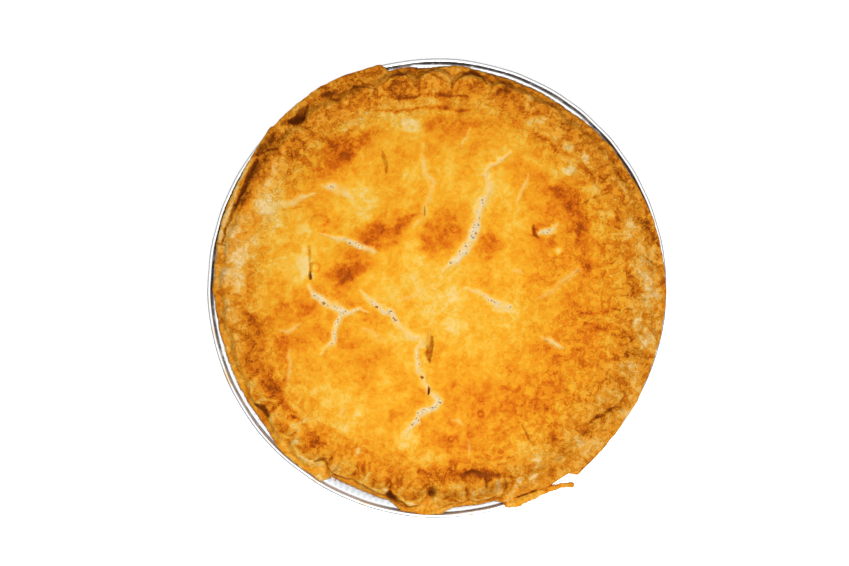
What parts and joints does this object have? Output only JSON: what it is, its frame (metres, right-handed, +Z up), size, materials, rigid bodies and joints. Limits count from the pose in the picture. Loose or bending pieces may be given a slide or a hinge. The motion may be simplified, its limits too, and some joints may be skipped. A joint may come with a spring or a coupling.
{
  "type": "fruit pie",
  "caption": "Whole double-crust fruit pie with a domed, cracked golden lid and a finger-crimped edge, baked in a round foil tin with a fluted wall and a rolled rim.",
  "frame": {"origin": "centre of the tin's flat base, in the plane it stands on", "axes": "+Z up through the middle of the pie; +X to the right and +Y to the top as the pie is seen from above"},
  "size_m": [0.2298, 0.2298, 0.0429],
  "materials": {
    "foil": "bright rolled foil, pressed into flutes",
    "crust": "matt baked shortcrust, golden yellow to brown"
  },
  "bodies": {
    "root": {"tin": "foil", "pie": "crust"}
  },
  "joints": []
}
